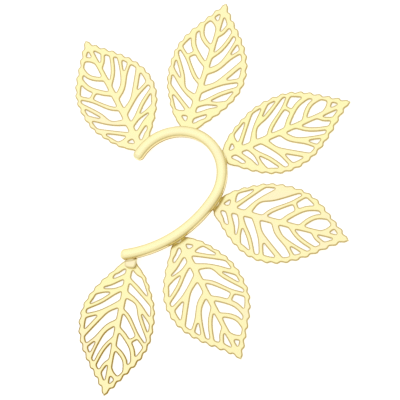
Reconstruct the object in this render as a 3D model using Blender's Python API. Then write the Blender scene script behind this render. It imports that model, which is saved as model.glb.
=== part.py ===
"""Leaf ear cuff: a C-shaped bar worn behind the ear, with six pierced leaves soldered behind it.

The cuff lies flat on its leaves, face up. Metres, +Z up; +X runs to the right of its front
view and +Y to its top. The origin is on the surface that it lies on, under the middle of its box.
"""

import math
from collections import namedtuple

import bmesh
import bpy
import numpy as np
from mathutils import Vector
from mathutils.geometry import delaunay_2d_cdt

MM = 0.001

# The bar behind the ear: a wide bow over the top of the ear, then a long easy tail
BAR_WIDTH = 3.2 * MM
BAR_THICKNESS = 2.5 * MM
BAR_CROWN = 0.8 * MM
BAR_BACK_ROUND = 0.35 * MM
BOW_RADIUS = 14.1 * MM
BOW_SWEEP = math.radians(188)
BOW_START = math.radians(66)
TAIL_RADIUS = 36.0 * MM
TAIL_SWEEP = math.radians(54.5)
BAR_STEP = 1.3 * MM
DOME_STEPS = 8
BACK_STEPS = 2
END_STEPS = 5
END_START = math.radians(14)

# One leaf, stamped from sheet; all six come off the same tool
LEAF_LENGTH = 41.0 * MM
LEAF_WIDTH = 24.6 * MM
SHEET = 0.85 * MM
MIDRIB_ROOT_WIDTH = 2.3 * MM
MIDRIB_TIP_WIDTH = 1.5 * MM
MIDRIB_BEND = 0.5 * MM
VEIN_WIDTH = 1.4 * MM
RIM_WIDTH = 1.8 * MM
TOOTH_PITCH = 3.0 * MM
TOOTH_DEPTH = 0.6 * MM
CORNER_ROUND = 0.28 * MM
NECK_WIDTH = 3.4 * MM
NECK_SEAT = 1.2 * MM

# A tooth's shape: how far its crest leans to the tip, the share of it that is cut below the
# margin, its share of full depth at the base, and the shares of the margin over which the
# teeth grow from nothing there and die away at the tip
TOOTH_LEAN = 1.6
TOOTH_CUT = 0.4
TOOTH_AT_BASE = 0.6
TOOTH_RUN_IN = 0.125
TOOTH_RUN_OUT = 0.04

# The tab that ties the lowest leaf to the end of the bar, a little to one side of its midrib
TAB_WIDTH = 3.4 * MM
TAB_LENGTH = 2.3 * MM
TAB_THICKNESS = 0.8 * MM
TAB_ROUND = 0.9 * MM
TAB_SHIFT = 0.25 * MM
TAB_STEPS = 5

# How far each piece stays from the next
SEAT_GAP = 0.2 * MM

# How lines are drawn: the finest step, how far a straight run may stray, and points to a stretch of curve
DRAW_STEP = 0.12 * MM
DRAW_SAG = 0.04 * MM
CURVE_STEPS = 24
SHARP_ANGLE = math.radians(35)

Margin = namedtuple("Margin", "along left right")
Rib = namedtuple("Rib", "root near_along near_out far_along far_out rim width edge")
Bridge = namedtuple("Bridge", "rib lower upper")
Seat = namedtuple("Seat", "name along beyond heading length breadth closed missing")

# The leaf's outline without its teeth: along in shares of the length, and the two sides in
# shares of half the width
MARGINS = [
    Margin(0.000, 0.20, 0.23),
    Margin(0.037, 0.33, 0.33),
    Margin(0.073, 0.44, 0.43),
    Margin(0.146, 0.60, 0.635),
    Margin(0.219, 0.73, 0.80),
    Margin(0.292, 0.84, 0.925),
    Margin(0.365, 0.90, 1.00),
    Margin(0.438, 0.93, 1.02),
    Margin(0.511, 0.93, 0.995),
    Margin(0.584, 0.905, 0.925),
    Margin(0.657, 0.825, 0.81),
    Margin(0.730, 0.695, 0.65),
    Margin(0.803, 0.52, 0.46),
    Margin(0.876, 0.34, 0.25),
    Margin(0.934, 0.20, 0.10),
    Margin(0.975, 0.095, 0.015),
    Margin(1.000, 0.03, -0.03),
]

# Side ribs from the base to the tip. A rib leaves the midrib at root, passes near and far, and
# meets the margin at rim: along is in shares of the length and out in shares of half the width.
# Its width is in shares of VEIN_WIDTH, and edge is the rim's width beside its end in shares of
# RIM_WIDTH
LEFT_RIBS = [
    Rib(0.007, 0.034, 0.14, 0.063, 0.26, 0.085, 1.0, 0.7),
    Rib(0.098, 0.105, 0.16, 0.096, 0.33, 0.102, 1.3, 0.7),
    Rib(0.106, 0.158, 0.245, 0.226, 0.54, 0.303, 1.1, 0.7),
    Rib(0.212, 0.271, 0.32, 0.343, 0.60, 0.440, 1.2, 0.8),
    Rib(0.237, 0.285, 0.38, 0.396, 0.56, 0.565, 1.0, 0.7),
    Rib(0.343, 0.401, 0.25, 0.520, 0.55, 0.615, 1.0, 0.8),
    Rib(0.485, 0.544, 0.255, 0.635, 0.51, 0.762, 1.2, 1.05),
    Rib(0.628, 0.675, 0.245, 0.734, 0.395, 0.832, 1.1, 0.8),
    Rib(0.790, 0.830, 0.12, 0.860, 0.26, 0.876, 1.2, 0.8),
    Rib(0.918, 0.920, 0.06, 0.923, 0.14, 0.925, 1.0, 0.9),
]
RIGHT_RIBS = [
    Rib(0.010, 0.033, 0.17, 0.067, 0.30, 0.100, 1.1, 1.1),
    Rib(0.084, 0.124, 0.23, 0.161, 0.43, 0.200, 1.3, 1.35),
    Rib(0.170, 0.212, 0.27, 0.225, 0.55, 0.263, 1.0, 1.0),
    Rib(0.179, 0.234, 0.27, 0.307, 0.56, 0.387, 1.0, 0.9),
    Rib(0.281, 0.353, 0.32, 0.399, 0.585, 0.445, 1.1, 1.15),
    Rib(0.305, 0.368, 0.355, 0.472, 0.61, 0.600, 1.3, 0.85),
    Rib(0.430, 0.489, 0.265, 0.594, 0.51, 0.672, 1.0, 0.9),
    Rib(0.445, 0.524, 0.305, 0.650, 0.47, 0.768, 1.0, 0.85),
    Rib(0.553, 0.631, 0.19, 0.715, 0.315, 0.820, 1.0, 1.0),
    Rib(0.728, 0.770, 0.11, 0.820, 0.19, 0.872, 1.0, 1.1),
    Rib(0.905, 0.907, 0.06, 0.912, 0.12, 0.918, 1.0, 1.0),
]
# Where a short vein ties a rib on the left to the next one, in shares of each rib's run
BRIDGES = [Bridge(5, 0.71, 0.48)]

# Each leaf's place and size: its seat in shares of the bar's length, how far its base line is
# beyond the bar's side, the way that its tip points, its length and breadth in shares of the
# drawn leaf's, the window that its stamp left closed, counted in the order of leaf_windows, and
# the left rib that its stamp left out
SEATS = [
    Seat("leaf_1", 0.0385, 0.85 * MM, math.radians(118), 1.005, 1.01, None, None),
    Seat("leaf_2", 0.2235, 0.4 * MM, math.radians(74.5), 1.02, 1.03, None, None),
    Seat("leaf_3", 0.405, 0.0 * MM, math.radians(21.5), 1.0, 1.0, None, None),
    Seat("leaf_4", 0.597, 0.0 * MM, math.radians(-17.5), 1.02, 1.005, 3, None),
    Seat("leaf_5", 0.7725, -0.05 * MM, math.radians(-62), 1.01, 1.01, None, None),
    Seat("leaf_6", 0.9595, 1.2 * MM, math.radians(-99.2), 0.985, 0.965, None, 1),
]


def unit(vectors):
    return vectors / np.linalg.norm(vectors, axis=-1, keepdims=True)


def even_steps(points, step, closed=True):
    """The line through the points again, in even steps close to the given one."""
    if closed:
        points = np.vstack([points, points[:1]])
    run = np.concatenate([[0.0], np.cumsum(np.linalg.norm(np.diff(points, axis=0), axis=1))])
    count = max(3, round(run[-1] / step))
    at = np.linspace(0.0, run[-1], count + 1)
    line = np.column_stack([np.interp(at, run, points[:, axis]) for axis in range(2)])
    return line[:-1] if closed else line


def smooth_through(rows, at):
    """A smooth line through rows of points, read at the given places from 0 to the last row."""
    rows = np.asarray(rows, float)
    ends = np.vstack([2 * rows[0] - rows[1], rows, 2 * rows[-1] - rows[-2]])
    index = np.clip(np.floor(at).astype(int), 0, len(rows) - 2)
    t = (at - index)[:, None]
    a, b, c, d = (ends[index + k] for k in range(4))
    return 0.5 * (2 * b + (c - a) * t + (2 * a - 5 * b + 4 * c - d) * t**2 + (3 * b - a - 3 * c + d) * t**3)


def smooth_curve(rows):
    """A smooth line through all the rows, with the same number of points between each two."""
    stretches = len(rows) - 1
    return smooth_through(rows, np.linspace(0, stretches, CURVE_STEPS * stretches + 1))


def midrib_at(along):
    """The midrib's middle line at a share of the leaf's length."""
    along = np.asarray(along, float)
    return np.stack([along * LEAF_LENGTH, MIDRIB_BEND * along**2], axis=-1)


def margin_line(side):
    """The leaf's smooth outline on one side, from base to tip: +1 is left and -1 right."""
    out = [row.left if side > 0 else -row.right for row in MARGINS]
    rows = [(row.along * LEAF_LENGTH, value * LEAF_WIDTH / 2) for row, value in zip(MARGINS, out)]
    return smooth_curve(rows)


def toothed(line, side):
    """The outline with its teeth, whose points lean to the tip."""
    line = even_steps(line, DRAW_STEP, closed=False)
    run = np.linspace(0.0, 1.0, len(line))
    length = DRAW_STEP * (len(line) - 1)
    phase = (run * round(length / TOOTH_PITCH)) % 1.0
    ends = np.minimum(1.0, np.minimum(run / TOOTH_RUN_IN, (1 - run) / TOOTH_RUN_OUT))
    depth = TOOTH_DEPTH * ends * (TOOTH_AT_BASE + (1 - TOOTH_AT_BASE) * run)
    rise = depth * (np.sin(math.pi * phase**TOOTH_LEAN) - TOOTH_CUT)
    tangent = unit(np.gradient(line, axis=0))
    outward = side * np.column_stack([-tangent[:, 1], tangent[:, 0]])
    return line + rise[:, None] * outward


def rib_line(rib, side, margin):
    """A side rib's middle line from the midrib to the margin."""
    scale = np.array([LEAF_LENGTH, side * LEAF_WIDTH / 2])
    rim_x = rib.rim * LEAF_LENGTH
    rim_y = np.interp(rim_x, margin[:, 0], margin[:, 1])
    near = np.array([rib.near_along, rib.near_out]) * scale
    far = np.array([rib.far_along, rib.far_out]) * scale
    rows = [midrib_at(rib.root), near, far, (rim_x, rim_y)]
    return smooth_curve(rows)


def part_of(line, start, stop):
    """The stretch of a line between two shares of its points."""
    first, last = round(start * (len(line) - 1)), round(stop * (len(line) - 1))
    return line[first : last + 1]


def opening(edges):
    """A window's outline inside its edges, each a line with the metal's half width beside it."""
    lines, halves = [], []
    for line, start_half, stop_half in edges:
        line = even_steps(line, DRAW_STEP, closed=False)[:-1]
        lines.append(line)
        halves.append(np.linspace(start_half, stop_half, len(line)))
    loop, half = np.vstack(lines), np.concatenate(halves)
    tangent = unit(np.roll(loop, -1, axis=0) - np.roll(loop, 1, axis=0))
    inward = np.column_stack([-tangent[:, 1], tangent[:, 0]])
    spread = loop[:, 0] @ (np.roll(loop[:, 1], -1) - np.roll(loop[:, 1], 1))
    moved = loop + math.copysign(1.0, spread) * half[:, None] * inward
    clear = np.linalg.norm(moved[:, None] - loop[None], axis=2) - half[None]
    inside = moved[(clear.min(axis=1) > -DRAW_SAG) & within(moved, loop)]
    if spread < 0:
        inside = inside[::-1]
    return rounded(inside)


def within(points, loop):
    """Which points lie inside a closed outline."""
    x, y = points[:, None, 0], points[:, None, 1]
    here, there = loop, np.roll(loop, -1, axis=0)
    spans = (here[:, 1] > y) != (there[:, 1] > y)
    rise = np.where(spans, there[:, 1] - here[:, 1], 1.0)
    crossing = here[:, 0] + (y - here[:, 1]) / rise * (there[:, 0] - here[:, 0])
    return (spans & (x < crossing)).sum(axis=1) % 2 == 1


def rounded(loop):
    """A closed outline with its corners rounded."""
    loop = even_steps(loop, DRAW_STEP)
    reach = round(CORNER_ROUND / DRAW_STEP)
    return np.mean([np.roll(loop, k, axis=0) for k in range(-reach, reach + 1)], axis=0)


def leaf_windows(missing):
    """The outlines of all the leaf's windows, each anticlockwise, without a left rib if one is missing."""
    windows = []
    for side, ribs in ((1, LEFT_RIBS), (-1, RIGHT_RIBS)):
        margin = margin_line(side)
        lines = [rib_line(rib, side, margin) for rib in ribs]
        kept = [i for i in range(len(ribs)) if side < 0 or i != missing]
        for i, j in zip(kept, kept[1:]):
            cuts = [(0.0, 0.0)]
            if side > 0:
                cuts += [(b.lower, b.upper) for b in BRIDGES if b.rib == i]
            cuts.append((1.0, 1.0))
            for (low_a, high_a), (low_b, high_b) in zip(cuts, cuts[1:]):
                lower = part_of(lines[i], low_a, low_b)
                upper = part_of(lines[j], high_a, high_b)
                edges = bay_edges(ribs[i], ribs[j], lower, upper, margin, low_a, low_b)
                windows.append(opening(edges))
    return windows


def bay_edges(rib, next_rib, lower, upper, margin, start, stop):
    """The four edges round the bay between two ribs, with the metal's half width along each."""
    half = VEIN_WIDTH / 2
    low, high = half * rib.width, half * next_rib.width
    edges = [(lower, low, low)]
    if stop == 1.0:
        between = (margin[:, 0] > lower[-1, 0]) & (margin[:, 0] < upper[-1, 0])
        rim = np.vstack([lower[-1:], margin[between], upper[-1:]])
        edges.append((rim, RIM_WIDTH * rib.edge, RIM_WIDTH * next_rib.edge))
    else:
        edges.append((np.array([lower[-1], upper[-1]]), half, half))
    edges.append((upper[::-1], high, high))
    if start > 0.0:
        edges.append((np.array([upper[0], lower[0]]), half, half))
    elif next_rib.root > rib.root:
        back = midrib_at(np.linspace(next_rib.root, rib.root, CURVE_STEPS))
        edges.append((back, midrib_half(next_rib.root), midrib_half(rib.root)))
    return edges


def midrib_half(along):
    return (MIDRIB_ROOT_WIDTH + (MIDRIB_TIP_WIDTH - MIDRIB_ROOT_WIDTH) * along) / 2


def few_points(loop, sag=DRAW_SAG):
    """A closed outline with only the points that keep it within the given distance of the fine one."""
    far = int(np.argmax(np.linalg.norm(loop - loop[0], axis=1)))
    halves = [loop[: far + 1], np.vstack([loop[far:], loop[:1]])]
    return np.vstack([thinned(half, sag)[:-1] for half in halves])


def thinned(line, sag):
    """An open line with the points between its ends that lie off the straight run, found by halving."""
    run = line[-1] - line[0]
    away = line - line[0]
    off = np.abs(run[0] * away[:, 1] - run[1] * away[:, 0]) / np.linalg.norm(run)
    worst = int(np.argmax(off))
    if off[worst] <= sag:
        return line[[0, -1]]
    return np.vstack([thinned(line[: worst + 1], sag)[:-1], thinned(line[worst:], sag)])


def leaf_outline(neck_length):
    """The leaf's toothed outline with its neck, anticlockwise."""
    left, right = toothed(margin_line(1), 1), toothed(margin_line(-1), -1)
    end, half = -neck_length, NECK_WIDTH / 2
    neck = np.array([(end / 2, half), (end, half), (end, -half), (end / 2, -half)])
    return np.vstack([right, left[-2::-1], neck])


def pierced_sheet(outline, holes, low, high):
    """A flat sheet between two heights, pierced by the holes; every outline runs anticlockwise."""
    loops = [outline] + holes
    starts = np.cumsum([0] + [len(loop) for loop in loops]).tolist()
    rings = [[start + k for k in range(len(loop))] for start, loop in zip(starts, loops)]
    edges = [pair for ring in rings for pair in zip(ring, ring[1:] + ring[:1])]
    points = [Vector(point) for loop in loops for point in loop.tolist()]
    drawn, _, triangles, sources, _, _ = delaunay_2d_cdt(points, edges, [], 1, 0.0)
    place = {source: k for k, found in enumerate(sources) for source in found}
    mesh = bmesh.new()
    lower = [mesh.verts.new((point.x, point.y, low)) for point in drawn]
    upper = [mesh.verts.new((point.x, point.y, high)) for point in drawn]
    places = np.array([tuple(point) for point in drawn])
    middles = places[np.array(triangles)].mean(axis=1)
    pierced = np.zeros(len(middles), bool)
    for hole in holes:
        pierced |= within(middles, hole)
    for (a, b, c), gone in zip(triangles, pierced):
        if not gone:
            mesh.faces.new((upper[a], upper[b], upper[c]))
            mesh.faces.new((lower[c], lower[b], lower[a]))
    for k, ring in enumerate(rings):
        way = ring if k == 0 else ring[::-1]
        for a, b in zip(way, way[1:] + way[:1]):
            a, b = place[a], place[b]
            mesh.faces.new((lower[a], lower[b], upper[b], upper[a]))
    return mesh


def leaf_mesh(seat):
    """One leaf, its base line at the origin and its tip along +X, standing on z = 0."""
    size = np.array([seat.length, seat.breadth])
    outline = few_points(leaf_outline(seat.beyond + NECK_SEAT)) * size
    windows = leaf_windows(seat.missing)
    holes = [few_points(loop) * size for k, loop in enumerate(windows) if k != seat.closed]
    return pierced_sheet(outline, holes, 0.0, SHEET)


def bar_point(run):
    """The bar's middle line in plan at a distance from its upper end, and the way that it runs there."""
    bow = BOW_RADIUS * BOW_SWEEP
    turned = min(run, bow) / BOW_RADIUS
    heading = BOW_START - turned
    point = BOW_RADIUS * np.array([-math.sin(heading), math.cos(heading)])
    if run > bow:
        middle = point * (1 - TAIL_RADIUS / BOW_RADIUS)
        heading -= (run - bow) / TAIL_RADIUS
        point = middle + TAIL_RADIUS * np.array([-math.sin(heading), math.cos(heading)])
    return point, heading


def bar_length():
    return BOW_RADIUS * BOW_SWEEP + TAIL_RADIUS * TAIL_SWEEP


def bar_section():
    """The bar's section, anticlockwise from its back: across the bar, and up from its back."""
    half, cut = BAR_WIDTH / 2, BAR_BACK_ROUND
    side = BAR_THICKNESS - BAR_CROWN
    turns = np.linspace(0.0, math.pi / 2, BACK_STEPS + 1)
    right = [(half - cut + cut * math.sin(t), cut - cut * math.cos(t)) for t in turns]
    left = [(-x, height) for x, height in reversed(right)]
    angles = np.linspace(0.0, math.pi, DOME_STEPS + 1)
    dome = [(half * math.cos(angle), side + BAR_CROWN * math.sin(angle)) for angle in angles]
    return right + dome + left


def bar_mesh():
    """The C-shaped bar: flat behind, domed in front, and rounded off at both ends."""
    length, half = bar_length(), BAR_WIDTH / 2
    turns = np.linspace(END_START, math.pi / 2, END_STEPS)
    end = [half * (1 - math.cos(turn)) for turn in turns]
    steps = round((length - BAR_WIDTH) / BAR_STEP)
    middle = np.linspace(half, length - half, steps + 1)[1:-1].tolist()
    stations = end + middle + [length - run for run in reversed(end)]
    mesh = bmesh.new()
    rings = []
    for run in stations:
        near_end = min(run, length - run, half)
        share = math.sqrt(1 - (1 - near_end / half) ** 2)
        point, heading = bar_point(run)
        side = np.array([-math.sin(heading), math.cos(heading)])
        ring = []
        for across, height in bar_section():
            x, y = point - side * across * share
            from_middle = (height - BAR_THICKNESS / 2) * math.sqrt(share)
            z = SHEET + SEAT_GAP + BAR_THICKNESS / 2 + from_middle
            ring.append(mesh.verts.new((x, y, z)))
        rings.append(ring)
    for ring, following in zip(rings, rings[1:]):
        for k in range(len(ring)):
            j = (k + 1) % len(ring)
            mesh.faces.new((ring[k], ring[j], following[j], following[k]))
    mesh.faces.new(rings[0][::-1])
    mesh.faces.new(rings[-1])
    bmesh.ops.recalc_face_normals(mesh, faces=mesh.faces)
    return mesh


def tab_outline(seat):
    """The tab in the lowest leaf's own plan, from the side of the bar to past the base line."""
    half, corner = TAB_WIDTH / 2, TAB_ROUND
    _, bar_heading = bar_point(seat.along * bar_length())
    lean = bar_heading + math.pi / 2 - seat.heading
    sides = [TAB_SHIFT - half, TAB_SHIFT + half]
    near = [(SEAT_GAP - y * math.sin(lean)) / math.cos(lean) - seat.beyond for y in sides]
    stop = SEAT_GAP - seat.beyond + TAB_LENGTH
    turns = np.linspace(0.0, math.pi / 2, TAB_STEPS + 1)
    right = [(stop - corner + corner * math.sin(t), corner - half - corner * math.cos(t)) for t in turns]
    far = [(x, TAB_SHIFT + y) for x, y in right + [(x, -y) for x, y in reversed(right)]]
    return np.array([(near[0], sides[0])] + far + [(near[1], sides[1])])


def gold(name, red, green, blue, roughness):
    """A polished gold-plated brass."""
    material = bpy.data.materials.new(name)
    material.use_nodes = True
    shader = material.node_tree.nodes["Principled BSDF"]
    shader.inputs["Base Color"].default_value = (red, green, blue, 1.0)
    shader.inputs["Metallic"].default_value = 1.0
    shader.inputs["Roughness"].default_value = roughness
    return material


def add_piece(name, mesh, parent, material):
    """An object made from a finished bmesh, under its parent."""
    data = bpy.data.meshes.new(name)
    mesh.to_mesh(data)
    mesh.free()
    data.shade_smooth()
    data.set_sharp_from_angle(angle=SHARP_ANGLE)
    piece = bpy.data.objects.new(name, data)
    piece.parent = parent
    data.materials.append(material)
    bpy.context.scene.collection.objects.link(piece)
    return piece


def seat_leaf(piece, seat):
    """Turns a leaf, or the tab on it, to its heading and moves it out to its seat on the bar."""
    point, _ = bar_point(seat.along * bar_length())
    reach = BAR_WIDTH / 2 + seat.beyond
    x, y = point + reach * np.array([math.cos(seat.heading), math.sin(seat.heading)])
    piece.location = (x, y, 0.0)
    piece.rotation_euler = (0.0, 0.0, seat.heading)


def centre_on_origin(parent, pieces):
    """Moves the whole so that the middle of its box in plan is over the origin."""
    bpy.context.view_layer.update()
    corners = [piece.matrix_world @ vert.co for piece in pieces for vert in piece.data.vertices]
    xs, ys = [corner.x for corner in corners], [corner.y for corner in corners]
    parent.location = (-(min(xs) + max(xs)) / 2, -(min(ys) + max(ys)) / 2, 0.0)


def build():
    for old in list(bpy.data.objects):
        bpy.data.objects.remove(old)
    cuff = bpy.data.objects.new("ear_cuff", None)
    bpy.context.scene.collection.objects.link(cuff)
    finish = gold("hook_gold", 0.93, 0.80, 0.44, 0.22)
    pieces = [add_piece("ear_hook", bar_mesh(), cuff, finish)]
    for seat in SEATS:
        finish = gold(seat.name + "_gold", 0.96, 0.86, 0.52, 0.18)
        pieces.append(add_piece(seat.name, leaf_mesh(seat), cuff, finish))
        seat_leaf(pieces[-1], seat)
    low = SHEET + SEAT_GAP
    tab = pierced_sheet(tab_outline(SEATS[-1]), [], low, low + TAB_THICKNESS)
    finish = gold("tab_gold", 0.94, 0.83, 0.50, 0.25)
    pieces.append(add_piece("hook_tab", tab, cuff, finish))
    seat_leaf(pieces[-1], SEATS[-1])
    centre_on_origin(cuff, pieces)


if __name__ == "__main__":
    build()
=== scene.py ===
"""The looks of the leaf ear cuff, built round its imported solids.

Each stamped leaf is drawn again from the rim of its solid, with rolled edges. The bar is swept
along its bow and its tail, and the tab and the solder finish the joints. Metres, +Z up.
"""

import math

import bmesh
import bpy
import numpy as np
from bpy.props import FloatProperty, FloatVectorProperty, IntProperty, PointerProperty
from mathutils import Matrix, Vector
from mathutils.bvhtree import BVHTree


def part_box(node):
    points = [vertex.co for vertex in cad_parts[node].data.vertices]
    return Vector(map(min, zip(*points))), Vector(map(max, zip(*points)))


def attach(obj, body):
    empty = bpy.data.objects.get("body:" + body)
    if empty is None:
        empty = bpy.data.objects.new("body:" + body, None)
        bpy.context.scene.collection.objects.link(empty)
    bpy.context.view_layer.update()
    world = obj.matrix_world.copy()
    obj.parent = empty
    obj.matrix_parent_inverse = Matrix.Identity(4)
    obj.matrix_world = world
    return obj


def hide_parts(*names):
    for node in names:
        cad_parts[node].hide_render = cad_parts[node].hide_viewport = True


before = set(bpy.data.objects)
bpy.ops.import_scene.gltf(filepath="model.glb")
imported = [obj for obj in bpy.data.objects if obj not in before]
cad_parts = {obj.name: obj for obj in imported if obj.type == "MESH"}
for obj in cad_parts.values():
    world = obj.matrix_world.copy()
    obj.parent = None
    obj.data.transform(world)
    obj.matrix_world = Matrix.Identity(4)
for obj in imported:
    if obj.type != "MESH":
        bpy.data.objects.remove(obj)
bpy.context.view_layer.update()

bl_info = {
    "name": "Leaf ear cuff",
    "version": (1, 0, 0),
    "blender": (4, 5, 0),
    "location": "3D View > Sidebar > Ear cuff",
    "description": "Builds the looks of a leaf ear cuff round its packed solids",
    "category": "Add Mesh",
}

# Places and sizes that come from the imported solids
MM = 0.001
LEAVES = sorted(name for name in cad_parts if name.startswith("leaf_"))
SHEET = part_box(LEAVES[0])[1].z
BAR_LOW, BAR_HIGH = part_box("ear_hook")
TAB_LOW, TAB_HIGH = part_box("hook_tab")

# Points closer than this are one point, a face steeper than this is not a flat one, an edge that
# turns more than this is a sharp one, and a rolled edge and its line of painted shade take at most
# this share of the metal between two edges
SAME_POINT = 0.001 * MM
FLAT = 0.9
SHARP = math.radians(40)
FILLED = 0.85

# The way to the lowest leaf's tip, and how far that way the painted shade on its edges starts to deepen
# and is deepest
LOW_END = (-0.50, -0.87, 0.0)
LOW_SPAN = (28.0 * MM, 62.0 * MM)

# How finely shapes are drawn: the fewest points of an outline, those that a curve puts in between
# two of its own, the steps of a rolled edge, the points of the bar's section, and how often a drop
# of solder is divided. The bar's rings crowd towards its ends by a share, and shrink to another
FEWEST_POINTS = 8
BETWEEN = 12
SHOULDER_STEPS = 5
SECTION_POINTS = 56
DROP_DIVISIONS = 4
CROWDING = 0.92
END_SIZE = 0.001

# How much brown painted shade a leaf's wall takes where its rolled edge starts
WALL_TOP_SHADE = 0.8

# Solder, in shares of its reach: the step in which a leaf's edge is searched for the bar, the half
# sizes of the pad under the tab, and those of the bead at its end, whose height is in shares of
# the tab's
SEARCH_STEP = 0.1
TAB_PAD = (0.8, 0.7)
BEAD = (1.4, 0.4, 0.65)

# Where the noise of the greener patches is read, away from that of the rosier ones
ELSEWHERE = (0.31, 0.17, 0.05)

# The camera: the point in the middle of its view, how far the view leans from straight down,
# the side of the cuff that is farther from it, its distance, and its sensor and lens
AIM = Vector((-1.857, -2.150, 0.4)) * MM
LEAN = math.radians(22.88)
FAR_SIDE = math.radians(129.15)
DISTANCE = 525.5 * MM
SENSOR = 36.0
LENS = 157.66

# The stage: a wide sheet of glowing white, a soft sky that is brightest on one side, one lamp.
# A tone of the sky has its place, from the dark side to the bright one, and its colour
FLOOR_SIZE = 4.0
FLOOR_DROP = 0.02 * MM
FLOOR_GLOW = 0.6
SKY_SIDE = Vector((-0.40, 0.46, 0.79)).normalized()
SKY_TONES = [
    (0.20, (0.58, 0.57, 0.55, 1.0)),
    (0.50, (0.84, 0.83, 0.81, 1.0)),
    (0.80, (0.95, 0.95, 0.94, 1.0)),
    (0.95, (1.02, 1.02, 1.02, 1.0)),
    (1.00, (1.05, 1.05, 1.05, 1.0)),
]
LAMP_PLACE = Vector((-0.43, 0.50, 1.00))
LAMP_SIZE = 0.8
LAMP_POWER = 0.15


def length(name, default, description):
    """A size that the panel shows, in metres."""
    return FloatProperty(
        name=name, default=default, description=description, min=0.0, unit="LENGTH", precision=5
    )


def angle(name, degrees, description):
    """An angle that the panel shows."""
    return FloatProperty(
        name=name, default=math.radians(degrees), description=description, unit="ROTATION"
    )


def share(name, default, description):
    """A share from nothing to all that the panel shows."""
    return FloatProperty(
        name=name, default=default, description=description, min=0.0, max=1.0, subtype="FACTOR"
    )


def colour(name, red, green, blue, description):
    """A colour that the panel shows."""
    return FloatVectorProperty(
        name=name,
        default=(red, green, blue),
        description=description,
        subtype="COLOR",
        min=0.0,
        max=1.0,
    )


class LeafSizes(bpy.types.PropertyGroup):
    """The sizes of the leaves' and the tab's rolled edges."""

    step: length("Step", 0.2 * MM, "Distance between the points of a leaf's edge")
    corner: length("Corner", 0.3 * MM, "How far a leaf's corners are rounded in plan")
    shoulder: length("Shoulder", 0.16 * MM, "Radius of the rolled front edge of a leaf")
    undercut: length("Undercut", 0.20 * MM, "How far the back of a leaf's wall is drawn in")
    undercut_rise: length("Undercut rise", 0.35 * MM, "How far up a leaf's wall is drawn in")
    # Painted shade: the darker line beside a leaf's edge and the brown of its cut wall
    shade: length("Shade", 0.32 * MM, "Width of the darker line beside a leaf's edge")
    wall_shade: share("Wall shade", 0.35, "How brown the cut wall of a leaf is")
    tab_shoulder: length("Tab shoulder", 0.22 * MM, "Radius of the rolled front edge of the tab")
    tab_corner: length("Tab corner", 0.6 * MM, "How far the tab's corners are rounded in plan")


class BarSizes(bpy.types.PropertyGroup):
    """The sizes of the bar."""

    bow_radius: length("Bow radius", 14.1 * MM, "Radius of the bow over the ear")
    bow_start: angle("Bow start", 66.0, "Way that the bar runs at its upper end")
    bow_sweep: angle("Bow sweep", 188.0, "Turn of the bow")
    tail_radius: length("Tail radius", 36.0 * MM, "Radius of the tail behind the ear")
    tail_sweep: angle("Tail sweep", 54.5, "Turn of the tail")
    width: length("Width", 3.2 * MM, "Width of the bar across its front")
    crown: length("Crown", 0.8 * MM, "Rise of the bar's domed front")
    front_corner: share("Front corner", 0.72, "How round the bar's domed front is")
    back_corner: share("Back corner", 0.3, "How round the bar's back corners are")
    rings: IntProperty(name="Rings", default=420, description="Rings along the bar", min=20)
    solder_reach: length("Solder reach", 1.15 * MM, "How far a drop of solder spreads under the bar")
    solder_squeeze: length("Solder squeeze", 0.04 * MM, "How far solder wets what it joins")


class CuffColours(bpy.types.PropertyGroup):
    """The colours of the finishes, and of the painted light and shade on them."""

    face: colour("Face", 0.93, 0.85, 0.47, "Plated face of a leaf")
    face_rosy: colour("Rosy face", 0.93, 0.82, 0.53, "Rosier patches of the plating")
    face_green: colour("Green face", 0.89, 0.88, 0.42, "Greener patches of the plating")
    # Painted shade and reflection along the rolled edges and cut walls, not a colour of the metal
    edge: colour("Edge", 0.59, 0.45, 0.17, "Cut edge of a leaf")
    # Deeper painted shade on the edges towards the lowest leaf's tip
    deep_edge_shade: colour("Deep edge shade", 0.34, 0.20, 0.0, "Cut edge at the lowest leaf's tip")
    bar: colour("Bar", 0.94, 0.84, 0.44, "Plated front of the bar")
    # Painted highlight along the bar's crown
    crown_highlight: colour("Bar crown highlight", 0.95, 0.88, 0.51, "Highest line of the bar's front")
    # Painted dark reflection where the bar's front turns away
    front_turn_reflection: colour("Bar dark reflection", 0.76, 0.62, 0.27, "Line along the bar where its front turns away")
    # Painted pale reflection on the bar's side; the solder's lumps also take this colour
    side_reflection_and_solder_tone: colour("Bar side reflection", 0.96, 0.86, 0.50, "Side of the bar")
    # Painted shade on the lower part of the bar's side
    low_side_shade: colour("Bar low shade", 0.44, 0.30, 0.07, "Lower part of the bar's side")
    tab: colour("Tab", 0.94, 0.83, 0.55, "Plated tab")
    solder: colour("Solder", 0.94, 0.85, 0.56, "Solder under the plating")
    floor: colour("Floor", 0.70, 0.70, 0.70, "Sheet under the cuff")
    floor_fibre: colour("Floor fibre", 0.60, 0.60, 0.59, "Fibres of the sheet")


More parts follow.
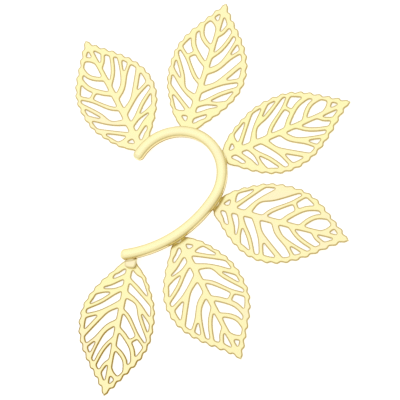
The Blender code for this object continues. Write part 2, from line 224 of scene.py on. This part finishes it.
class Value:
    """A socket of a node tree. Arithmetic on it adds the Math nodes that work it out."""

    def __init__(self, board, socket):
        self.board, self.socket = board, socket

    def __add__(self, other):
        return self.board.math("ADD", self, other)

    def __radd__(self, other):
        return self.board.math("ADD", other, self)

    def __sub__(self, other):
        return self.board.math("SUBTRACT", self, other)

    def __rsub__(self, other):
        return self.board.math("SUBTRACT", other, self)

    def __mul__(self, other):
        return self.board.math("MULTIPLY", self, other)

    def __rmul__(self, other):
        return self.board.math("MULTIPLY", other, self)

    def __truediv__(self, other):
        return self.board.math("DIVIDE", self, other)

    def __rtruediv__(self, other):
        return self.board.math("DIVIDE", other, self)

    def __pow__(self, other):
        return self.board.math("POWER", self, other)

    def __gt__(self, other):
        return self.board.math("GREATER_THAN", self, other)

    def __abs__(self):
        return self.board.math("ABSOLUTE", self)

    def sign(self):
        return self.board.math("SIGN", self)

    def sine(self):
        return self.board.math("SINE", self)

    def cosine(self):
        return self.board.math("COSINE", self)

    def at_least(self, other):
        return self.board.math("MAXIMUM", self, other)

    def at_most(self, other):
        return self.board.math("MINIMUM", self, other)


class Made:
    """A node that was added, whose outputs are read by identifier, name or number."""

    def __init__(self, board, node):
        self.board, self.node = board, node

    def __getitem__(self, key):
        return Value(self.board, found(self.node.outputs, key))


def found(sockets, key):
    """A socket by its number, its identifier or its name."""
    if isinstance(key, int):
        return sockets[key]
    for socket in sockets:
        if socket.identifier == key:
            return socket
    return sockets[key]


class Board:
    """A node tree, for a material, a sky or a shape, with one method that adds any node."""

    def __init__(self, tree):
        self.tree = tree

    def add(self, kind, settings=None, sockets=()):
        """Adds a node. Its settings are set first, then the values or links of its sockets."""
        node = self.tree.nodes.new(kind)
        for name, value in (settings or {}).items():
            if name == "stops":
                self.set_stops(node.color_ramp, value)
            else:
                setattr(node, name, value)
        pairs = sockets.items() if isinstance(sockets, dict) else enumerate(sockets)
        for key, value in pairs:
            self.feed(found(node.inputs, key), value)
        return Made(self, node)

    def feed(self, socket, value):
        """Gives a socket a value, a link, or several links."""
        if isinstance(value, list):
            for each in value:
                self.tree.links.new(each.socket, socket)
        elif isinstance(value, Value):
            self.tree.links.new(value.socket, socket)
        else:
            socket.default_value = value

    def set_stops(self, ramp, stops):
        while len(ramp.elements) < len(stops):
            ramp.elements.new(1.0)
        for element, (position, tone) in zip(ramp.elements, stops):
            element.position, element.color = position, tone

    def math(self, operation, *values):
        return self.add("ShaderNodeMath", {"operation": operation}, values)[0]

    def sum_of(self, first, second):
        """The sum of two vectors."""
        return self.add("ShaderNodeVectorMath", {"operation": "ADD"}, (first, second))["Vector"]

    def scaled(self, vector, size):
        """A vector times a number."""
        sockets = {"Vector": vector, "Scale": size}
        return self.add("ShaderNodeVectorMath", {"operation": "SCALE"}, sockets)["Vector"]

    def along(self, vector, way):
        """How far a vector goes along another."""
        sockets = (vector, way)
        return self.add("ShaderNodeVectorMath", {"operation": "DOT_PRODUCT"}, sockets)["Value"]

    def point(self, x=0.0, y=0.0, z=0.0):
        return self.add("ShaderNodeCombineXYZ", None, (x, y, z))[0]

    def blend(self, amount, first, second):
        """A mix of two colours."""
        sockets = {"Factor_Float": amount, "A_Color": first, "B_Color": second}
        return self.add("ShaderNodeMix", {"data_type": "RGBA"}, sockets)["Result_Color"]

    def noise(self, at, scale, detail=2.0, roughness=0.5):
        sockets = {"Vector": at, "Scale": scale, "Detail": detail, "Roughness": roughness}
        return self.add("ShaderNodeTexNoise", None, sockets)["Fac"]

    def spread(self, value, low, high):
        """A value brought from low..high to 0..1, with soft ends."""
        sockets = {"Value": value, "From Min": low, "From Max": high}
        return self.add("ShaderNodeMapRange", {"interpolation_type": "SMOOTHSTEP"}, sockets)[0]

    def attribute(self, name):
        """A number that the mesh keeps at each point, for a material."""
        return self.add("ShaderNodeAttribute", {"attribute_name": name})["Fac"]

    def stored(self, shape, name, value, where=True):
        """A shape that keeps a number at each of its points."""
        sockets = {"Geometry": shape, "Selection": where, "Name": name, "Value": value}
        settings = {"data_type": "FLOAT", "domain": "POINT"}
        return self.add("GeometryNodeStoreNamedAttribute", settings, sockets)[0]

    def moved(self, shape, **where):
        """A shape with its points at a Position, or moved by an Offset."""
        return self.add("GeometryNodeSetPosition", None, {"Geometry": shape, **where})[0]

    def finish(self, shape, material):
        """Ends a tree with plain geometry in one material."""
        real = self.add("GeometryNodeRealizeInstances", None, {"Geometry": shape})[0]
        sockets = {"Geometry": real, "Material": material}
        coated = self.add("GeometryNodeSetMaterial", None, sockets)[0]
        self.add("NodeGroupOutput", None, {"Geometry": coated})


def shape_board(name, inputs):
    """A new Geometry Nodes tree and its inputs, which are named sizes and the like."""
    tree = bpy.data.node_groups.new(name, "GeometryNodeTree")
    tree.interface.new_socket("Geometry", in_out="INPUT", socket_type="NodeSocketGeometry")
    tree.interface.new_socket("Geometry", in_out="OUTPUT", socket_type="NodeSocketGeometry")
    for label, kind in inputs.items():
        tree.interface.new_socket(label, in_out="INPUT", socket_type="NodeSocket" + kind)
    board = Board(tree)
    return board, board.add("NodeGroupInput")


def grown(name, tree, values, source=None):
    """The plain mesh that a tree makes, as a new object. The source object is used up."""
    source = source or link_new("seed", bpy.data.meshes.new("seed"))
    modifier = source.modifiers.new(tree.name, "NODES")
    modifier.node_group = tree
    for item in tree.interface.items_tree:
        if item.in_out == "INPUT" and item.name != "Geometry":
            modifier[item.identifier] = values[item.name]
    graph = bpy.context.evaluated_depsgraph_get()
    mesh = bpy.data.meshes.new_from_object(source.evaluated_get(graph), depsgraph=graph)
    source.modifiers.clear()
    bpy.data.objects.remove(source)
    body = bmesh.new()
    body.from_mesh(mesh)
    bmesh.ops.recalc_face_normals(body, faces=body.faces)
    broken = sum(1 for edge in body.edges if len(edge.link_faces) != 2)
    if broken or not body.faces:
        raise RuntimeError(f"{name} is not a closed body, as {broken} of its edges are open")
    body.to_mesh(mesh)
    body.free()
    mesh.shade_smooth()
    mesh.set_sharp_from_angle(angle=SHARP)
    return link_new(name, mesh)


def link_new(name, data):
    """A new object in the scene, at the origin."""
    made = bpy.data.objects.new(name, data)
    bpy.context.scene.collection.objects.link(made)
    return made


def finished(piece, slot, *nodes):
    """Lets a piece move with the cuff, in place of its solids where it has some."""
    if nodes:
        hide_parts(*nodes)
    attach(piece, "root")


def rgba(tone):
    return (*tone, 1.0)


def new_metal(name):
    """A new metal, with its board, its shader and the place on the piece."""
    material = bpy.data.materials.new(name)
    material.use_nodes = True
    board = Board(material.node_tree)
    shader = material.node_tree.nodes["Principled BSDF"]
    shader.inputs["Metallic"].default_value = 1.0
    return material, board, shader, board.add("ShaderNodeTexCoord")["Object"]


def relief(board, shader, height, strength, distance):
    """A fine relief on a surface."""
    sockets = {"Strength": strength, "Distance": distance, "Height": height}
    board.feed(shader.inputs["Normal"], board.add("ShaderNodeBump", None, sockets)[0])


def rubbed_lines(board, at, turn, across, along):
    """Fine polishing lines that run one way: close together across, and long along."""
    sockets = {"Vector": at, "Rotation": (0.0, 0.0, turn), "Scale": (across, along, across)}
    return board.noise(board.add("ShaderNodeMapping", None, sockets)[0], 1.0, 3.0, 0.6)


def leaf_metal(colours):
    """The leaves' plating: pale and tinted in faint patches, with brown painted shade and reflection
    along the cut edges.

    The attribute rim, which sets how much painted edge shade a point takes, is 1 on a rolled edge and 0
    on the face.
    """
    material, board, shader, at = new_metal("leaf_gold")
    rim = board.attribute("rim")
    rosy = board.spread(board.noise(at, 70.0), 0.50, 0.72)
    green = board.spread(board.noise(board.sum_of(at, ELSEWHERE), 55.0), 0.50, 0.75)
    face = board.blend(rosy * 0.8, rgba(colours.face), rgba(colours.face_rosy))
    face = board.blend(green * 0.7, face, rgba(colours.face_green))
    uneven = board.noise(at, 900.0, 3.0)
    # Painted shade and reflection along the rolled edges and walls, made a little uneven
    edge_shade = board.spread(rim * (0.8 + 0.4 * uneven), 0.08, 0.80)
    # The painted edge shade deepens towards the lowest leaf's tip
    low_end = board.spread(board.along(at, LOW_END), *LOW_SPAN)
    deeper_shade = low_end * (0.8 + 0.2 * board.spread(board.noise(at, 160.0), 0.40, 0.60))
    edge = board.blend(deeper_shade, rgba(colours.edge), rgba(colours.deep_edge_shade))
    board.feed(shader.inputs["Base Color"], board.blend(edge_shade, face, edge))
    rubbed = rubbed_lines(board, at, turn=0.6, across=4000.0, along=260.0)
    board.feed(shader.inputs["Roughness"], 0.15 + 0.12 * rubbed + 0.12 * edge_shade)
    relief(board, shader, 0.6 * rubbed + 0.4 * board.noise(at, 2600.0), 0.10, 0.01 * MM)
    return material


def bar_metal(colours):
    """The bar's plating: a painted highlight along its crown, a painted pale reflection on its sides,
    a painted dark reflection where they meet, and painted shade low down.

    The attribute turned is 0 along the crown, 1 where the front meets a side, and 2 at the back.
    """
    material, board, shader, at = new_metal("hook_gold")
    turned = board.attribute("turned")
    # How far below the crown the painted highlight fades
    below_crown = board.spread(turned, 0.0, 0.5)
    # Where the painted dark reflection lies, as the front turns away
    line = board.spread(turned, 0.45, 0.98)
    # Where the painted pale reflection on the side lies
    side = board.spread(turned, 1.0, 1.02)
    # Painted shade low on the side, fading out towards the back
    low = board.spread(turned, 1.03, 1.09) * (1.0 - board.spread(turned, 1.4, 1.8))
    patch = board.spread(board.noise(at, 60.0), 0.45, 0.75)
    face = board.blend(patch * 0.5, rgba(colours.bar), rgba(colours.face_rosy))
    # The painted crown highlight
    crown = board.blend(patch, rgba(colours.crown_highlight), rgba(colours.face_rosy))
    tone = board.blend(below_crown, crown, face)
    # The painted dark reflection where the front turns away
    tone = board.blend(line, tone, rgba(colours.front_turn_reflection))
    # The painted pale reflection on the side
    tone = board.blend(side, tone, rgba(colours.side_reflection_and_solder_tone))
    # The painted shade low on the side
    board.feed(shader.inputs["Base Color"], board.blend(low, tone, rgba(colours.low_side_shade)))
    wave = board.noise(at, 240.0)
    fine = board.noise(at, 1800.0, 3.0)
    board.feed(shader.inputs["Roughness"], 0.13 + 0.06 * wave + 0.03 * fine)
    relief(board, shader, 0.9 * wave + 0.1 * fine, 0.05, 0.03 * MM)
    return material


def tab_metal(colours):
    """The tab's plating: a little rosier and duller than the bar's."""
    material, board, shader, at = new_metal("tab_gold")
    rim = board.attribute("rim")
    patch = board.spread(board.noise(at, 500.0), 0.40, 0.70)
    face = board.blend(patch * 0.6, rgba(colours.tab), rgba(colours.face))
    # Painted shade along the tab's rolled edge, at half the leaves' strength
    board.feed(shader.inputs["Base Color"], board.blend(rim * 0.5, face, rgba(colours.edge)))
    fine = board.noise(at, 1500.0, 3.0)
    board.feed(shader.inputs["Roughness"], 0.24 + 0.12 * fine)
    relief(board, shader, fine, 0.10, 0.03 * MM)
    return material


def solder_metal(colours):
    """Plated solder: duller than the leaves and a little lumpy."""
    material, board, shader, at = new_metal("solder_gold")
    lumps = board.noise(at, 1400.0, 3.0)
    # One of the solder's lump tones is the colour of the bar's painted side reflection
    tone = board.blend(lumps, rgba(colours.side_reflection_and_solder_tone), rgba(colours.solder))
    board.feed(shader.inputs["Base Color"], tone)
    board.feed(shader.inputs["Roughness"], 0.30 + 0.2 * lumps)
    relief(board, shader, lumps, 0.4, 0.05 * MM)
    return material


def rim_loops(node):
    """The outlines of a solid's flat front, each a loop of points with the metal on its left."""
    mesh = bmesh.new()
    mesh.from_mesh(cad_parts[node].data)
    bmesh.ops.remove_doubles(mesh, verts=mesh.verts, dist=SAME_POINT)
    mesh.normal_update()
    follows = {}
    for face in mesh.faces:
        for corner in face.loops:
            beside = corner.link_loop_radial_next.face
            if face.normal.z > FLAT > beside.normal.z:
                follows[corner.vert] = corner.link_loop_next.vert
    loops = []
    while follows:
        here = next(iter(follows))
        loop = []
        while here in follows:
            loop.append(tuple(here.co.xy))
            here = follows.pop(here)
        loops.append(np.array(loop))
    mesh.free()
    return loops


def even_steps(points, step):
    """A closed line through the points again, in even steps close to the given one."""
    points = np.vstack([points, points[:1]])
    run = np.concatenate([[0.0], np.cumsum(np.linalg.norm(np.diff(points, axis=0), axis=1))])
    at = np.linspace(0.0, run[-1], max(FEWEST_POINTS, round(run[-1] / step)) + 1)
    return np.column_stack([np.interp(at, run, points[:, axis]) for axis in range(2)])[:-1]


def smooth_loop(points):
    """A closed curve through the points, which turns evenly where they are unevenly spaced."""
    a, b, c, d = (np.roll(points, 1 - k, axis=0)[:, None] for k in range(4))
    gaps = [np.linalg.norm(q - p, axis=2, keepdims=True) for p, q in ((a, b), (b, c), (c, d))]
    tb, tc, td = np.cumsum(np.sqrt(gaps), axis=0)
    t = tb + (tc - tb) * np.linspace(0.0, 1.0, BETWEEN, endpoint=False)[None, :, None]
    ab = a + (b - a) * t / tb
    bc = b + (c - b) * (t - tb) / (tc - tb)
    cd = c + (d - c) * (t - tc) / (td - tc)
    abc = ab + (bc - ab) * t / tc
    bcd = bc + (cd - bc) * (t - tb) / (td - tb)
    return (abc + (bcd - abc) * (t - tb) / (tc - tb)).reshape(-1, 2)


def softened(loop, reach):
    """A closed line averaged over a few points each way, so that its corners are round."""
    return np.mean([np.roll(loop, k, axis=0) for k in range(-reach, reach + 1)], axis=0)


def fitted(loop, points):
    """A line stretched to the box of the points that it was drawn from."""
    low, high = points.min(axis=0), points.max(axis=0)
    span = (high - low) / np.ptp(loop, axis=0)
    return low + (loop - loop.min(axis=0)) * span


def short_of_middle(points, into, reach):
    """The ways into the metal, each shortened so that the reach stays short of its middle line."""
    away = points[None] - points[:, None]
    ahead = np.einsum("ijk,ik->ij", away, into)
    facing = ahead > SAME_POINT**2
    ball = np.where(facing, (away**2).sum(axis=2) / (2 * np.where(facing, ahead, 1.0)), np.inf)
    return into * np.minimum(1.0, FILLED * ball.min(axis=1) / reach)[:, None]


def outline_wire(node, step, corner, reach, curved):
    """A wire of a solid's outlines at its back, whose points know the way into the metal."""
    loops, ways, edges = [], [], []
    around = max(1, round(corner / step / 2))
    for points in rim_loops(node):
        loop = even_steps(smooth_loop(points) if curved else points, step)
        loop = softened(loop, around)
        if not curved:
            loop = fitted(loop, points)
        forward = np.roll(loop, -1, axis=0) - np.roll(loop, 1, axis=0)
        forward /= np.linalg.norm(forward, axis=1, keepdims=True)
        first = sum(len(each) for each in loops)
        ring = range(first, first + len(loop))
        edges += list(zip(ring, [*ring[1:], ring[0]]))
        ways.append(np.column_stack([-forward[:, 1], forward[:, 0]]))
        loops.append(loop)
    points = np.vstack(loops)
    into = short_of_middle(points, np.vstack(ways), reach)
    back = np.full(len(points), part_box(node)[0].z)
    mesh = bpy.data.meshes.new(node + "_wire")
    mesh.from_pydata(np.column_stack([points, back]).tolist(), edges, [])
    kept = mesh.attributes.new("into", "FLOAT_VECTOR", "POINT")
    kept.data.foreach_set("vector", np.column_stack([into, 0.0 * back]).ravel())
    return link_new(node + "_wire", mesh)


def stamping_tree():
    """Geometry Nodes that raise a plate with rolled edges from a wire of its outlines."""
    labels = ("Thickness", "Shoulder", "Undercut", "Undercut Rise", "Shade", "Back", "Wall Shade")
    board, given = shape_board("stamping", {**dict.fromkeys(labels, "Float"), "Material": "Material"})
    thickness, shoulder, undercut, cut_rise, shade, back, wall_shade = (given[label] for label in labels)
    named = {"Name": "into"}
    into = board.add("GeometryNodeInputNamedAttribute", {"data_type": "FLOAT_VECTOR"}, named)[0]
    base = board.moved(given["Geometry"], Offset=board.scaled(into, undercut))
    # Each move draws the edge on: how far into the metal, how far up, and how much painted shade it
    # takes there
    moves = [(0.0 - undercut, cut_rise, wall_shade)]
    moves.append((0.0, thickness - shoulder - cut_rise, WALL_TOP_SHADE))
    turns = np.linspace(0.0, math.pi / 2, SHOULDER_STEPS + 1).tolist()
    for low, high in zip(turns, turns[1:]):
        inward, upward = math.cos(low) - math.cos(high), math.sin(high) - math.sin(low)
        moves.append((shoulder * inward, shoulder * upward, 1.0))
    moves.append((shade, 0.0, 0.0))
    # The walls and rolled edges keep their share of painted shade in the attribute rim
    wall, edge = board.stored(base, "rim", wall_shade), True
    for inward, upward, shade_taken in moves:
        push = board.sum_of(board.scaled(into, inward), board.point(z=upward))
        sockets = {"Mesh": wall, "Selection": edge, "Offset": push, "Offset Scale": 1.0}
        drawn = board.add("GeometryNodeExtrudeMesh", {"mode": "EDGES"}, sockets)
        edge = drawn["Top"]
        wall = board.stored(drawn["Mesh"], "rim", shade_taken, edge)
    parts = [wall]
    for shape, where, height in ((wall, edge, back + thickness), (base, True, back)):
        rim = board.add("GeometryNodeMeshToCurve", None, {"Mesh": shape, "Selection": where})[0]
        sheet = board.add("GeometryNodeFillCurve", None, {"Curve": rim})[0]
        parts.append(board.moved(sheet, Offset=board.point(z=height)))
    joined = board.add("GeometryNodeJoinGeometry", None, {"Geometry": parts})[0]
    sockets = {"Geometry": joined, "Distance": SAME_POINT}
    board.finish(board.add("GeometryNodeMergeByDistance", None, sockets)[0], given["Material"])
    return board.tree


def stamping(node, slot, sizes, corner, shoulder, metal, tree, curved=True):
    """A plate with rolled edges in place of a flat solid."""
    low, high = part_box(node)
    values = {
        "Thickness": high.z - low.z,
        "Shoulder": shoulder,
        "Undercut": sizes.undercut,
        "Undercut Rise": sizes.undercut_rise,
        "Shade": sizes.shade,
        "Back": low.z,
        "Wall Shade": sizes.wall_shade,
        "Material": metal,
    }
    wire = outline_wire(node, sizes.step, corner, shoulder + sizes.shade, curved)
    piece = grown(node + "_stamped", tree, values, wire)
    finished(piece, slot, node)


class CUFF_OT_leaves(bpy.types.Operator):
    """Draw the six pierced leaves with rolled edges"""

    bl_idname = "cuff.leaves"
    bl_label = "Leaves"

    def execute(self, context):
        sizes = context.scene.cuff_leaves
        metal, tree = leaf_metal(context.scene.cuff_colours), stamping_tree()
        for node in LEAVES:
            stamping(node, "leaf_gold", sizes, sizes.corner, sizes.shoulder, metal, tree)
        return {"FINISHED"}


class CUFF_OT_tab(bpy.types.Operator):
    """Draw the tab that carries the lowest leaf"""

    bl_idname = "cuff.tab"
    bl_label = "Tab"

    def execute(self, context):
        sizes = context.scene.cuff_leaves
        metal, tree = tab_metal(context.scene.cuff_colours), stamping_tree()
        corner, shoulder = sizes.tab_corner, sizes.tab_shoulder
        stamping("hook_tab", "tab_gold", sizes, corner, shoulder, metal, tree, curved=False)
        return {"FINISHED"}


def bar_tree():
    """Geometry Nodes that sweep the bar's section along its bow and then its tail."""
    labels = ("Bow Radius", "Bow Start", "Bow Sweep", "Tail Radius", "Tail Sweep")
    labels += ("Width", "Thickness", "Crown", "Front Corner", "Back Corner")
    kinds = {**dict.fromkeys(labels, "Float"), "Rings": "Int", "Material": "Material"}
    board, given = shape_board("bar", kinds)
    bow_radius, start, bow_sweep, tail_radius, tail_sweep = (given[label] for label in labels[:5])
    half = given["Width"] / 2
    thickness, crown, front_corner, back_corner = (given[label] for label in labels[6:])
    # The middle line: an arc of the bow, then an arc of the tail that carries on its way
    bow, tail = bow_radius * bow_sweep, tail_radius * tail_sweep
    part = board.add("GeometryNodeInputIndex")[0] / (given["Rings"] - 1.0)
    crowded = (part * math.tau).sine() * (CROWDING / math.tau)
    run = (part - crowded) * (bow + tail)
    turn = start - run.at_most(bow) / bow_radius
    last = turn - (run - bow).at_least(0.0) / tail_radius
    x = (tail_radius - bow_radius) * turn.sine() - tail_radius * last.sine()
    y = (bow_radius - tail_radius) * turn.cosine() + tail_radius * last.cosine()
    line = board.add("GeometryNodeMeshLine", None, {"Count": given["Rings"]})[0]
    line = board.moved(line, Position=board.point(x, y))
    # Towards an end the section shrinks as the height of a circle does
    from_end = (run.at_most(bow + tail - run) / half).at_most(1.0)
    size = (1.0 - (1.0 - from_end) ** 2.0).at_least(END_SIZE) ** 0.5
    line = board.stored(line, "size", size)
    line = board.add("GeometryNodeMeshToCurve", None, {"Mesh": line})[0]
    level = board.add("GeometryNodeSetCurveNormal", {"mode": "Z_UP"}, {"Curve": line})[0]
    # The section, upside down as the sweep turns it over: domed in front, and square with round
    # corners behind
    sockets = {"Resolution": SECTION_POINTS, "Radius": 1.0}
    ring = board.add("GeometryNodeCurvePrimitiveCircle", {"mode": "RADIUS"}, sockets)["Curve"]
    way = board.add("GeometryNodeInputIndex")[0] * (math.tau / SECTION_POINTS)
    level_part, rise_part = way.cosine(), way.sine()
    front = rise_part > 0.0
    bend = front * front_corner + (1.0 - front) * back_corner
    side = thickness - crown
    rise = front * crown + (1.0 - front) * side
    across = half * level_part.sign() * abs(level_part) ** bend
    up = rise * rise_part.sign() * abs(rise_part) ** bend + side - thickness / 2
    ring = board.moved(ring, Position=board.point(across, 0.0 - up))
    away = front * abs(level_part) + (1.0 - front) * (1.0 + abs(rise_part))
    ring = board.stored(ring, "turned", away)
    named = board.add("GeometryNodeInputNamedAttribute", {"data_type": "FLOAT"}, {"Name": "size"})[0]
    sockets = {"Curve": level, "Profile Curve": ring, "Scale": named, "Fill Caps": True}
    swept = board.add("GeometryNodeCurveToMesh", None, sockets)[0]
    board.finish(swept, given["Material"])
    return board.tree


class CUFF_OT_bar(bpy.types.Operator):
    """Sweep the C-shaped bar along its bow and its tail"""

    bl_idname = "cuff.bar"
    bl_label = "Bar"

    def execute(self, context):
        sizes = context.scene.cuff_bar
        values = {
            "Bow Radius": sizes.bow_radius,
            "Bow Start": sizes.bow_start,
            "Bow Sweep": sizes.bow_sweep,
            "Tail Radius": sizes.tail_radius,
            "Tail Sweep": sizes.tail_sweep,
            "Width": sizes.width,
            "Thickness": BAR_HIGH.z - BAR_LOW.z,
            "Crown": sizes.crown,
            "Front Corner": sizes.front_corner,
            "Back Corner": sizes.back_corner,
            "Rings": sizes.rings,
            "Material": bar_metal(context.scene.cuff_colours),
        }
        bar = grown("bar_swept", bar_tree(), values)
        corners = np.array(bar.bound_box)
        middle = Vector((corners.min(axis=0) + corners.max(axis=0)) / 2)
        bar.data.transform(Matrix.Translation((BAR_LOW + BAR_HIGH) / 2 - middle))
        finished(bar, "hook_gold", "ear_hook")
        return {"FINISHED"}


def solder_places(reach, squeeze):
    """Where solder holds the leaves and the tab: each place with its turn and its half sizes."""
    mesh = bmesh.new()
    mesh.from_mesh(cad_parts["ear_hook"].data)
    bar = BVHTree.FromBMesh(mesh)
    mesh.free()
    up = Vector((0.0, 0.0, 1.0))
    joint = (SHEET + BAR_LOW.z) / 2
    half = (BAR_LOW.z - SHEET) / 2 + squeeze
    rows = []
    for node in LEAVES:
        edge = even_steps(max(rim_loops(node), key=len), reach * SEARCH_STEP)
        covered = [point for point in edge if bar.ray_cast(Vector((*point, SHEET)), up)[0]]
        x, y = np.mean(covered, axis=0)
        rows.append(((x, y, joint), 0.0, (reach, reach, half)))
    middle = (TAB_LOW + TAB_HIGH) / 2
    pad = (reach * TAB_PAD[0], reach * TAB_PAD[1], half)
    rows.append(((middle.x, middle.y, joint), 0.0, pad))
    # A bead along the bar's side ties the tab to it
    place, way, _, _ = bar.find_nearest(middle)
    bead = (reach * BEAD[0], reach * BEAD[1], (TAB_HIGH.z - TAB_LOW.z) * BEAD[2])
    rows.append((tuple(place), math.atan2(way.y, way.x) - math.pi / 2, bead))
    return rows


def solder_tree():
    """Geometry Nodes that set a flattened drop of solder at each point."""
    board, given = shape_board("solder", {"Material": "Material"})
    turn = board.add("GeometryNodeInputNamedAttribute", {"data_type": "FLOAT"}, {"Name": "turn"})[0]
    named = {"Name": "half_sizes"}
    size = board.add("GeometryNodeInputNamedAttribute", {"data_type": "FLOAT_VECTOR"}, named)[0]
    turned = board.add("FunctionNodeEulerToRotation", None, (board.point(z=turn),))[0]
    sockets = {"Radius": 1.0, "Subdivisions": DROP_DIVISIONS}
    drop = board.add("GeometryNodeMeshIcoSphere", None, sockets)["Mesh"]
    sockets = {"Points": given["Geometry"], "Instance": drop, "Rotation": turned, "Scale": size}
    board.finish(board.add("GeometryNodeInstanceOnPoints", None, sockets)[0], given["Material"])
    return board.tree


class CUFF_OT_solder(bpy.types.Operator):
    """Set the drops of solder that join the leaves and the tab to the bar"""

    bl_idname = "cuff.solder"
    bl_label = "Solder"

    def execute(self, context):
        sizes = context.scene.cuff_bar
        places, turns, halves = zip(*solder_places(sizes.solder_reach, sizes.solder_squeeze))
        mesh = bpy.data.meshes.new("solder_points")
        mesh.from_pydata(places, [], [])
        mesh.attributes.new("turn", "FLOAT", "POINT").data.foreach_set("value", turns)
        kept = mesh.attributes.new("half_sizes", "FLOAT_VECTOR", "POINT")
        kept.data.foreach_set("vector", np.ravel(halves))
        values = {"Material": solder_metal(context.scene.cuff_colours)}
        solder = grown("solder_drops", solder_tree(), values, link_new("solder_points", mesh))
        finished(solder, "hook_gold")
        return {"FINISHED"}


class CUFF_OT_stage(bpy.types.Operator):
    """Set the floor, the light and the camera"""

    bl_idname = "cuff.stage"
    bl_label = "Stage"

    def execute(self, context):
        lay_floor(context.scene.cuff_colours)
        set_light(context.scene)
        set_camera(context.scene)
        return {"FINISHED"}


def lay_floor(colours):
    """A wide sheet of white, lit from below so that the pierced work shows bright."""
    half = FLOOR_SIZE / 2
    corners = [(-half, -half), (half, -half), (half, half), (-half, half)]
    mesh = bpy.data.meshes.new("floor")
    mesh.from_pydata([(x, y, -FLOOR_DROP) for x, y in corners], [], [(0, 1, 2, 3)])
    material = bpy.data.materials.new("floor_sheet")
    material.use_nodes = True
    board = Board(material.node_tree)
    shader = material.node_tree.nodes["Principled BSDF"]
    at = board.add("ShaderNodeTexCoord")["Object"]
    fibre = board.noise(at, 900.0, 4.0)
    tone = board.blend(fibre * 0.1, rgba(colours.floor), rgba(colours.floor_fibre))
    board.feed(shader.inputs["Base Color"], tone)
    shader.inputs["Roughness"].default_value = 0.9
    shader.inputs["Emission Color"].default_value = (1.0, 1.0, 1.0, 1.0)
    shader.inputs["Emission Strength"].default_value = FLOOR_GLOW
    mesh.materials.append(material)
    link_new("floor", mesh)


def set_light(scene):
    """A soft sky, brightest over the far left, and one faint wide lamp high on the same side."""
    world = bpy.data.worlds.new("studio")
    scene.world = world
    world.use_nodes = True
    board = Board(world.node_tree)
    way = board.add("ShaderNodeTexCoord")["Generated"]
    near_side = board.along(way, SKY_SIDE) * 0.5 + 0.5
    tone = board.add("ShaderNodeValToRGB", {"stops": SKY_TONES}, {"Fac": near_side})["Color"]
    shader = world.node_tree.nodes["Background"]
    board.feed(shader.inputs["Color"], tone)
    shader.inputs["Strength"].default_value = 1.0
    lamp = bpy.data.lights.new("soft_lamp", "AREA")
    lamp.shape = "DISK"
    lamp.size = LAMP_SIZE
    lamp.energy = LAMP_POWER
    soft = link_new("soft_lamp", lamp)
    facing = LAMP_PLACE.to_track_quat("Z", "Y").to_matrix().to_4x4()
    soft.matrix_world = Matrix.Translation(LAMP_PLACE) @ facing
    scene.view_settings.view_transform = "Standard"


def set_camera(scene):
    """The camera leans back from straight down, away from the far side of the cuff."""
    far = Vector((math.cos(FAR_SIDE), math.sin(FAR_SIDE), 0.0))
    side = Vector((-far.y, far.x, 0.0))
    top = Vector((0.0, 0.0, 1.0))
    back = top * math.cos(LEAN) - far * math.sin(LEAN)
    rise = far * math.cos(LEAN) + top * math.sin(LEAN)
    right = rise * far.x - side * far.y
    up = rise * far.y + side * far.x
    data = bpy.data.cameras.new("camera")
    data.sensor_width, data.lens = SENSOR, LENS
    data.clip_start, data.clip_end = 0.01, 10.0
    camera = link_new("camera", data)
    turned = Matrix((right, up, back)).transposed().to_4x4()
    camera.matrix_world = Matrix.Translation(AIM + DISTANCE * back) @ turned
    scene.camera = camera


class CUFF_PT_panel(bpy.types.Panel):
    """The sizes, the colours and the steps of the cuff"""

    bl_label = "Ear cuff"
    bl_idname = "CUFF_PT_panel"
    bl_space_type = "VIEW_3D"
    bl_region_type = "UI"
    bl_category = "Ear cuff"

    def draw(self, context):
        for operator in OPERATORS:
            self.layout.operator(operator.bl_idname)
        for group in GROUPS:
            held = getattr(context.scene, group)
            box = self.layout.box()
            for name in held.bl_rna.properties.keys():
                if name not in ("rna_type", "name"):
                    box.prop(held, name)


OPERATORS = (CUFF_OT_leaves, CUFF_OT_tab, CUFF_OT_bar, CUFF_OT_solder, CUFF_OT_stage)
GROUPS = {"cuff_leaves": LeafSizes, "cuff_bar": BarSizes, "cuff_colours": CuffColours}
CLASSES = (*GROUPS.values(), *OPERATORS, CUFF_PT_panel)


def register():
    for each in CLASSES:
        bpy.utils.register_class(each)
    for name, group in GROUPS.items():
        setattr(bpy.types.Scene, name, PointerProperty(type=group))


def unregister():
    for name in GROUPS:
        delattr(bpy.types.Scene, name)
    for each in reversed(CLASSES):
        bpy.utils.unregister_class(each)


def main():
    register()
    bpy.ops.cuff.leaves()
    bpy.ops.cuff.tab()
    bpy.ops.cuff.bar()
    bpy.ops.cuff.solder()
    bpy.ops.cuff.stage()


if __name__ == "__main__":
    main()
